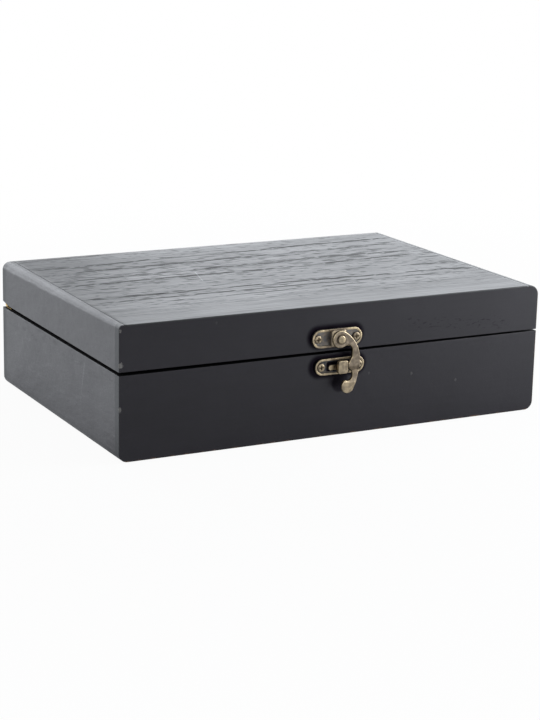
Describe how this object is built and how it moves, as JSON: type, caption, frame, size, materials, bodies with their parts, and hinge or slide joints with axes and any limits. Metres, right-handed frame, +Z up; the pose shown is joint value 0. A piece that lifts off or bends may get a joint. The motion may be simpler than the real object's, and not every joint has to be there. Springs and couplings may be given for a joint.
{
  "type": "hinged wooden box",
  "caption": "Flat black wooden box with a hinged, grain-topped lid, a continuous brass hinge along the back and a brass swing-hook latch on the front.",
  "frame": {"origin": "centre of the underside, on the surface the box stands on", "axes": "+X to the box's right along the front, +Y to the hinge at the back, +Z up"},
  "size_m": [0.24, 0.1672, 0.068],
  "materials": {
    "black_paint": "satin black paint",
    "black_veneer": "satin black stain over open grain",
    "hinge_brass": "plain",
    "aged_brass": "antiqued, dark in the recesses"
  },
  "bodies": {
    "base": {"base_front_board": "black_paint", "base_back_board": "black_paint", "base_left_board": "black_paint", "base_right_board": "black_paint", "base_bottom_panel": "black_paint", "hinge_base_leaf": "hinge_brass", "hinge_pin": "hinge_brass", "hinge_base_screws": "hinge_brass", "catch_plate": "aged_brass", "catch_plate_screws": "aged_brass"},
    "lid": {"lid_front_board": "black_paint", "lid_back_board": "black_paint", "lid_left_board": "black_paint", "lid_right_board": "black_paint", "lid_top_board": "black_paint", "lid_top_veneer": "black_veneer", "hinge_lid_leaf": "hinge_brass", "hinge_lid_screws": "hinge_brass", "latch_plate": "aged_brass", "latch_plate_screws": "aged_brass", "latch_rivet": "aged_brass"},
    "hook": {"latch_hook": "aged_brass"}
  },
  "joints": [
    {"name": "lid_hinge", "type": "hinge", "parent": "base", "child": "lid", "pos_m": [0, 0.0788, 0.0448], "axis": [-1, 0, 0], "range_deg": [0, 100]},
    {"name": "hook_pivot", "type": "hinge", "parent": "lid", "child": "hook", "pos_m": [-0.0021, -0.08465, 0.0512], "axis": [0, -1, 0], "range_deg": [0, 180]}
  ]
}
